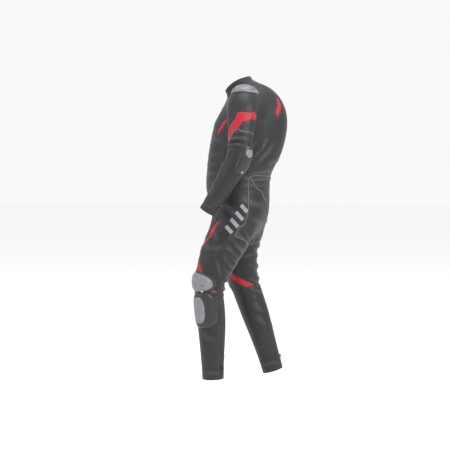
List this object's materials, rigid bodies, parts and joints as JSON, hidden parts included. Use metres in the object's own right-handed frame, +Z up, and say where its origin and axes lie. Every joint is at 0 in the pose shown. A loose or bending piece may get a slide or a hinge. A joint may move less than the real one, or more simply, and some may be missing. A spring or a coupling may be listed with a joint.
{
  "type": "motorcycle race suit",
  "caption": "One-piece leather race suit in a slow stride, an open hollow garment with stretch panels, red bands, a back hump, hard shoulder, elbow and knee armour and zips.",
  "frame": {"origin": "between the shoulders, on the suit's middle plane, where the shoulders inside it hold it up", "axes": "+Z up, the front faces -Y, the suit's own left side is +X"},
  "size_m": [0.6228, 0.4503, 1.463],
  "materials": {
    "leather": "charcoal grained cowhide, semi-matt",
    "stretch": "black ribbed stretch cloth, matt",
    "red_leather": "bright red cowhide, semi-matt",
    "armour": "black, glossy",
    "metal": "satin"
  },
  "bodies": {
    "suit": {"back": "leather", "back_flash_left": "red_leather", "back_flash_right": "red_leather", "back_yoke": "leather", "calf_left": "stretch", "calf_right": "stretch", "chest_flash_left": "red_leather", "chest_flash_right": "red_leather", "collar": "stretch", "cuff_left": "stretch", "cuff_right": "stretch", "elbow_slider_left": "armour", "elbow_slider_right": "armour", "front_left": "leather", "front_placket": "leather", "front_right": "leather", "gusset": "stretch", "knee_band_left": "red_leather", "knee_band_right": "red_leather", "knee_cup_left": "armour", "knee_cup_right": "armour", "knee_left": "leather", "knee_puck_left": "armour", "knee_puck_right": "armour", "knee_right": "leather", "seat_left": "leather", "seat_right": "leather", "shin_left": "leather", "shin_right": "leather", "shoulder_slider_left": "armour", "shoulder_slider_right": "armour", "side_left": "stretch", "side_right": "stretch", "sleeve_band_left": "red_leather", "sleeve_band_right": "red_leather", "sleeve_cap_left": "leather", "sleeve_cap_right": "leather", "sleeve_inner_left": "stretch", "sleeve_inner_right": "stretch", "sleeve_outer_left": "leather", "sleeve_outer_right": "leather", "thigh_back_left": "stretch", "thigh_back_right": "stretch", "thigh_front_left": "leather", "thigh_front_right": "leather", "thigh_side_left": "leather", "thigh_side_right": "leather", "thigh_stripe_left": "red_leather", "thigh_stripe_right": "red_leather", "waist_band": "stretch", "zip_slider_calf_left": "metal", "zip_slider_calf_right": "metal", "zip_slider_cuff_left": "metal", "zip_slider_cuff_right": "metal", "zip_slider_front": "metal"},
    "pull_front": {"zip_pull_front": "metal"},
    "pull_cuff_left": {"zip_pull_cuff_left": "metal"},
    "pull_cuff_right": {"zip_pull_cuff_right": "metal"},
    "pull_calf_left": {"zip_pull_calf_left": "metal"},
    "pull_calf_right": {"zip_pull_calf_right": "metal"}
  },
  "joints": [
    {"name": "pull_front_hinge", "type": "hinge", "parent": "suit", "child": "pull_front", "pos_m": [-0.0001, -0.10483, 0.00589], "axis": [-1, 0.0005, 0.0002], "range_deg": [0, 150]},
    {"name": "pull_cuff_left_hinge", "type": "hinge", "parent": "suit", "child": "pull_cuff_left", "pos_m": [0.27444, -0.0504, -0.46968], "axis": [0.9175, -0.3544, 0.1808], "range_deg": [0, 150]},
    {"name": "pull_cuff_right_hinge", "type": "hinge", "parent": "suit", "child": "pull_cuff_right", "pos_m": [-0.27444, -0.0504, -0.46968], "axis": [0.9175, 0.3544, -0.1808], "range_deg": [0, 150]},
    {"name": "pull_calf_left_hinge", "type": "hinge", "parent": "suit", "child": "pull_calf_left", "pos_m": [0.15068, -0.0671, -1.23377], "axis": [0.9232, -0.384, 0.0117], "range_deg": [0, 150]},
    {"name": "pull_calf_right_hinge", "type": "hinge", "parent": "suit", "child": "pull_calf_right", "pos_m": [-0.14137, 0.15726, -1.21944], "axis": [0.9277, 0.3658, 0.075], "range_deg": [0, 150]}
  ]
}
